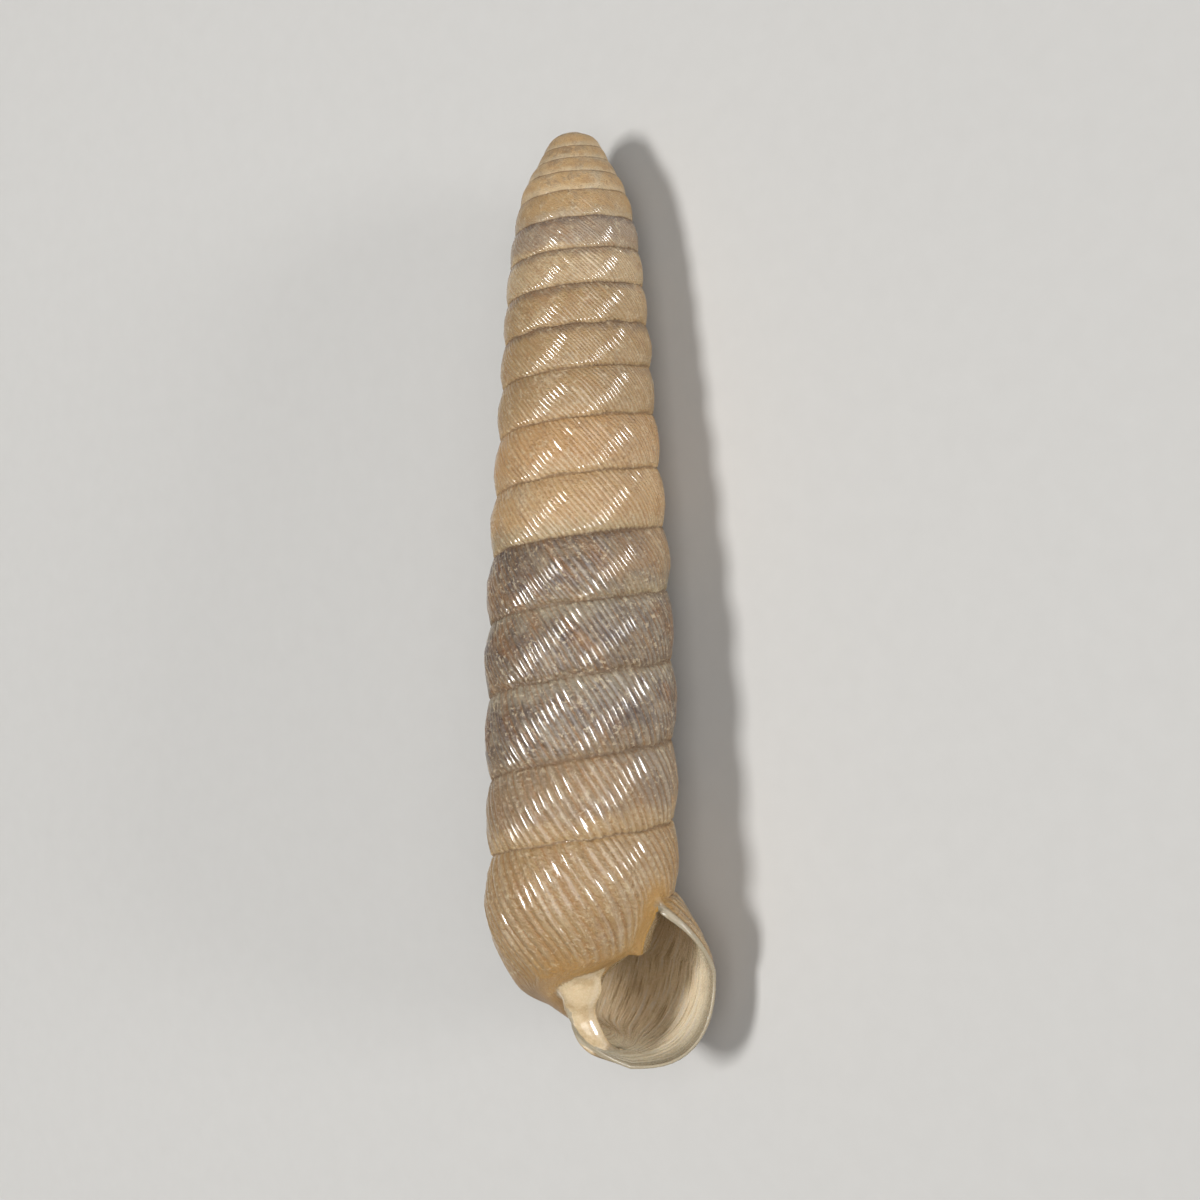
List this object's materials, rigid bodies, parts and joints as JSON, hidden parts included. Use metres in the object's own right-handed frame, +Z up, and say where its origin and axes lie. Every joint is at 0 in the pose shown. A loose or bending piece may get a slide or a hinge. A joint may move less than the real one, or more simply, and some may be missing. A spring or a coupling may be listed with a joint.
{
  "type": "land snail shell",
  "caption": "Tall, slender, ribbed land snail shell lying on its side, blunt tip at one end and flared round mouth with a small tooth at the other.",
  "frame": {"origin": "on the surface the shell lies on, under the middle of its box", "axes": "+Y along the shell toward the tip, +Z up; the mouth faces up and to +X"},
  "size_m": [0.0088, 0.0402, 0.0086],
  "materials": {
    "shell": "semi-gloss horn-coloured shell, tan and honey with grey-purple mottling, fine slanting growth ribs, pale glossy lip"
  },
  "bodies": {
    "root": {"shell": "shell"}
  },
  "joints": []
}
